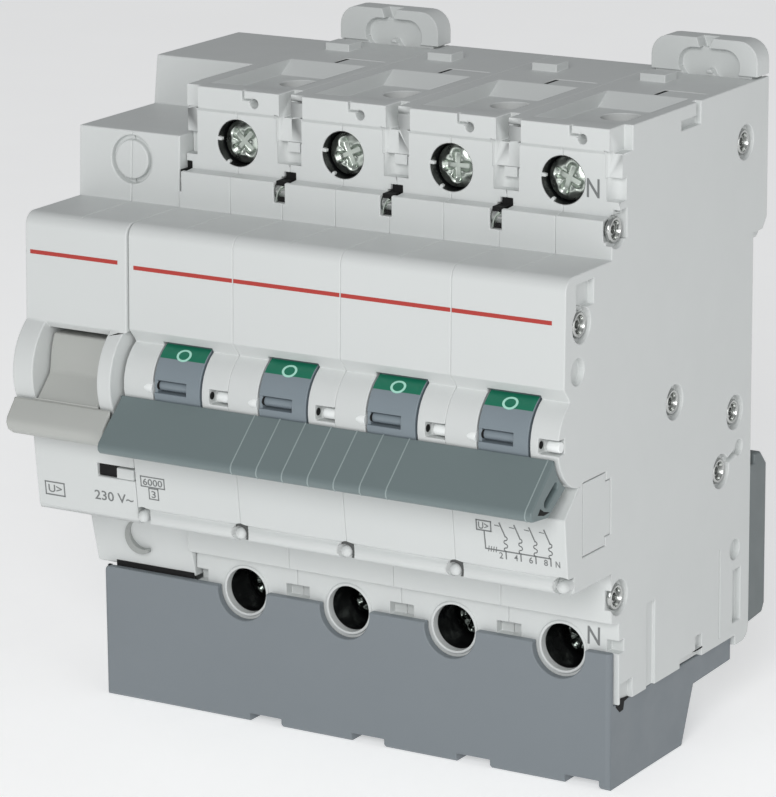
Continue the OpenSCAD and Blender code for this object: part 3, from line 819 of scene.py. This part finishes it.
def link_box():
    """The box with one corner cut and its front uprights rounded more, and black pieces by it that paint the shade
    of a hook-shaped hollow and of a gap.
    """
    low, high = span("link_box")
    bevelled = 1.6

    def corner(bm):
        outline = [(low.x - 1, high.z - bevelled), (low.x - 1, high.z + 1),
                   (low.x + bevelled, high.z + 1)]
        add_front(bm, outline, low.y - 1, low.y + 1.2)
    bm = cad_copy("link_box")
    cut_away(bm, corner)
    whole_flats(bm)

    def upright(edge):
        ends = [v.co for v in edge.verts]
        return all(co.y < low.y + 0.01 for co in ends) and abs(ends[0].z - ends[1].z) > 8
    round_edges(bm, 0.8, upright, segments=5)
    round_edges(bm, 0.2, lambda edge: not upright(edge))
    add_piece("link_box_skin", bm, "link_box", SLATE)

    # A black hook shape at the right corner: painted shade of a hollow.
    def hook(bm):
        add_slab(bm, [(-41, -43.2), (-40.2, -42.8), (-36.6, -43.2), (-38.4, -43.55), (-38.7, -44.7),
                      (-39.8, -44.8), (-40.9, -43.8)], high.x - 0.2, high.x + 0.03)
    small_part("corner_hook_shade", "link_box", HOLLOW_SHADE, hook, 0.01, 1)

    # A black strip under the release block: painted shade of the gap into the box.
    def gap(bm):
        add_box(bm, LEFT_X + 3.6, BREAKER_LEFT - 0.3, -41.8, -40.9, high.z - 0.3, high.z + 0.9)
    small_part("box_gap_shade", "link_box", HOLLOW_SHADE, gap, 0.03, 1)


# ---- Printed lines and generic marks ----

PRINT_PROUD = 0.03
PRINT_DEEP = 0.06
CAPITAL = 0.729
RED_Z = 16.1


def stroke(bm, points, width):
    """A printed line on the front of the housing, through places across and up."""
    for (xa, za), (xb, zb) in zip(points, points[1:]):
        along = Vector((xb - xa, zb - za)).normalized()
        side = Vector((-along.y, along.x)) * width / 2
        tip = along * width / 2
        corners = [Vector((xa, za)) - tip + side, Vector((xa, za)) - tip - side,
                   Vector((xb, zb)) + tip - side, Vector((xb, zb)) + tip + side]
        rings = []
        for lift in (-PRINT_PROUD, PRINT_DEEP):
            rings.append([(c.x, front_y(c.x, c.y) + lift, c.y) for c in corners])
        add_rings(bm, rings)


def frame_lines(bm, x0, x1, z0, z1, width):
    stroke(bm, [(x0, z0), (x1, z0), (x1, z1), (x0, z1), (x0, z0)], width)


def letters(bm, text, x, z, height, width):
    """Printed characters with their lower left corner at x, z; CAPITAL is a capital's share of the
    font's size.
    """
    curve = bpy.data.curves.new("letters", "FONT")
    curve.body = text
    curve.size = height / CAPITAL
    curve.extrude = 0.5
    curve.offset = 0.012 * height
    curve.resolution_u = 3
    holder = bpy.data.objects.new("letters", curve)
    bpy.context.scene.collection.objects.link(holder)
    depsgraph = bpy.context.evaluated_depsgraph_get()
    mesh = bpy.data.meshes.new_from_object(holder.evaluated_get(depsgraph))
    start = min(v.co.x for v in mesh.vertices)
    stop = max(v.co.x for v in mesh.vertices)
    for v in mesh.vertices:
        place_x = x + (v.co.x - start) * width / (stop - start)
        place_z = z + v.co.y
        lift = -PRINT_PROUD if v.co.z > 0 else PRINT_DEEP
        v.co = Vector((place_x, front_y(place_x, place_z) + lift, place_z))
    bm.from_mesh(mesh)
    bpy.data.objects.remove(holder)
    bpy.data.curves.remove(curve)
    bpy.data.meshes.remove(mesh)


def circuit_symbol(bm):
    """Small wiring diagram: release box, linked switches, coils and terminal numbers."""
    x, line, fine = POLE_X[4], 0.19, 0.12
    base, pitch = -17.6, 2.37
    frame_lines(bm, x - 5.2, x - 2.9, -14.95, -13.5, line)
    letters(bm, "U>", x - 4.9, -14.75, 1.05, 1.6)
    stroke(bm, [(x - 4, -15), (x - 3.9, base), (x + 6.4, base)], line)
    for k in range(4):
        foot = x - 3.45 + 0.4 * k
        stroke(bm, [(foot, base - 0.3), (foot + 0.12, base + 0.4)], fine)
    for k in range(4):
        foot = x - 0.65 + pitch * k
        stroke(bm, [(foot - 0.85, -13.5), (foot, -15.4)], line)
        coil = [(foot, -15.4)]
        for bend in range(2):
            coil += round_points((foot, -15.68 - 1.1 * bend), 0.3, 90, -90, 5)
            coil += round_points((foot, -16.22 - 1.1 * bend), 0.25, 90, 270, 5)
        stroke(bm, coil + [(foot, base)], 0.13)
        stroke(bm, [(foot, base), (foot, base - 1.05)], line)
        letters(bm, str(2 * k + 2), foot - 1.1, base - 1.15, 0.95, 0.6)
        stroke(bm, [(foot - 1.6, -13.9), (foot - 0.9, -13.95)], fine)
    letters(bm, "N", x + 7.2, base - 1.15, 0.95, 0.7)


def prints():
    """The red line across the nose, and the generic marks."""
    red = bmesh.new()
    stroke(red, [(LEFT_X + 1.2, RED_Z + 0.55), (BREAKER_LEFT - 1.9, RED_Z + 0.55)], 0.6)
    for i in POLES:
        start = POLE_X[i] - POLE_HALF + (1.2 if i == 1 else 0.42)
        stop = POLE_X[i] + POLE_HALF - (2.4 if i == 4 else 0.42)
        stroke(red, [(start, RED_Z), (stop, RED_Z)], 0.6)
    add_piece("red_lines", red, "pole_1_shell_left", PRINT_RED, stands_for=False)
    grey = bmesh.new()
    x = POLE_X[4]
    letters(grey, "N", x + 3.8, 30.45, 2.8, 2)
    letters(grey, "N", x + 3.95, -34.65, 2.8, 2)
    frame_lines(grey, -43.5, -40.1, -20.5, -18.5, 0.2)
    letters(grey, "U>", -43, -20.1, 1.25, 2.4)
    letters(grey, "230 V~", -34.6, -20, 1.5, 6.9)
    frame_lines(grey, -26, -21.9, -16.75, -15.2, 0.17)
    letters(grey, "6000", -25.65, -16.5, 1.05, 3.4)
    frame_lines(grey, -24.7, -23.1, -18.6, -16.95, 0.17)
    letters(grey, "3", -24.3, -18.35, 1.1, 0.75)
    circuit_symbol(grey)
    add_piece("grey_marks", grey, "pole_1_shell_left", PRINT_GREY, stands_for=False)


# ---- Whatever stays as CAD gets its material ----

def finish_cad_nodes():
    """A material for every CAD node, by its slot."""
    for node, obj in frame["nodes"].items():
        obj.data.materials.clear()
        obj.data.materials.append(BY_SLOT[SLOTS[node]])


# ---- Stage ----

def place_camera():
    """The viewpoint: right of, above and well in front of the device, with a long lens."""
    camera = bpy.data.objects.new("camera", bpy.data.cameras.new("camera"))
    bpy.context.scene.collection.objects.link(camera)
    forward = Vector((-0.5027, 0.8255, -0.2566)).normalized()
    right = forward.cross(Vector((-0.1255, 0.2240, 0.9665))).normalized()
    up = right.cross(forward)
    turn = Matrix((right, up, -forward)).transposed().to_4x4()
    camera.matrix_world = Matrix.Translation((0.30939, -0.53796, 0.15153)) @ turn
    camera.data.sensor_fit = "VERTICAL"
    camera.data.sensor_height = 36
    camera.data.lens = 187.87
    camera.data.clip_start = 0.05
    bpy.context.scene.camera = camera


def area_light(name, at, aim, size, power):
    """A round soft light; size in metres, power in watts."""
    light = bpy.data.lights.new(name, "AREA")
    light.shape = "DISK"
    light.size = size
    light.energy = power
    holder = bpy.data.objects.new(name, light)
    holder.location = at
    holder.rotation_euler = (Vector(aim) - Vector(at)).to_track_quat("-Z", "Y").to_euler()
    bpy.context.scene.collection.objects.link(holder)


def stage():
    """A pale floor that glows a little, an even sky and two soft lights."""
    floor_mesh = bpy.data.meshes.new("floor")
    reach = 4
    under_device = 0.02 * MM
    z = cad_low[2] - under_device
    corners = [(-reach, -reach, z), (reach, -reach, z), (reach, reach, z), (-reach, reach, z)]
    floor_mesh.from_pydata(corners, [], [(0, 1, 2, 3)])
    floor = bpy.data.objects.new("floor", floor_mesh)
    bpy.context.scene.collection.objects.link(floor)
    paper = plastic("floor_paper", srgb(240, 240, 240), 0.9, 0)
    shader = paper.node_tree.nodes["Principled BSDF"]
    shader.inputs["Emission Color"].default_value = (1, 1, 1, 1)
    shader.inputs["Emission Strength"].default_value = 0.42
    floor_mesh.materials.append(paper)
    world = bpy.data.worlds.new("world")
    world.use_nodes = True
    world.node_tree.nodes["Background"].inputs["Color"].default_value = (0.96, 0.98, 1, 1)
    world.node_tree.nodes["Background"].inputs["Strength"].default_value = 0.31
    bpy.context.scene.world = world
    bpy.context.scene.view_settings.view_transform = "Standard"
    centre = (0, -0.03, 0)
    area_light("key", (0.28, -0.74, 0.33), centre, 0.35, 3.1)
    area_light("fill", (0.75, -0.35, 0.1), centre, 0.5, 0.75)


place_camera()
finish_cad_nodes()
housing()
joint_details()
window_rods()
bore_shade_sleeves()
screws()
rivets()
toggles()
handle()
release_parts()
link_box()
pin_shadows()
prints()
stage()
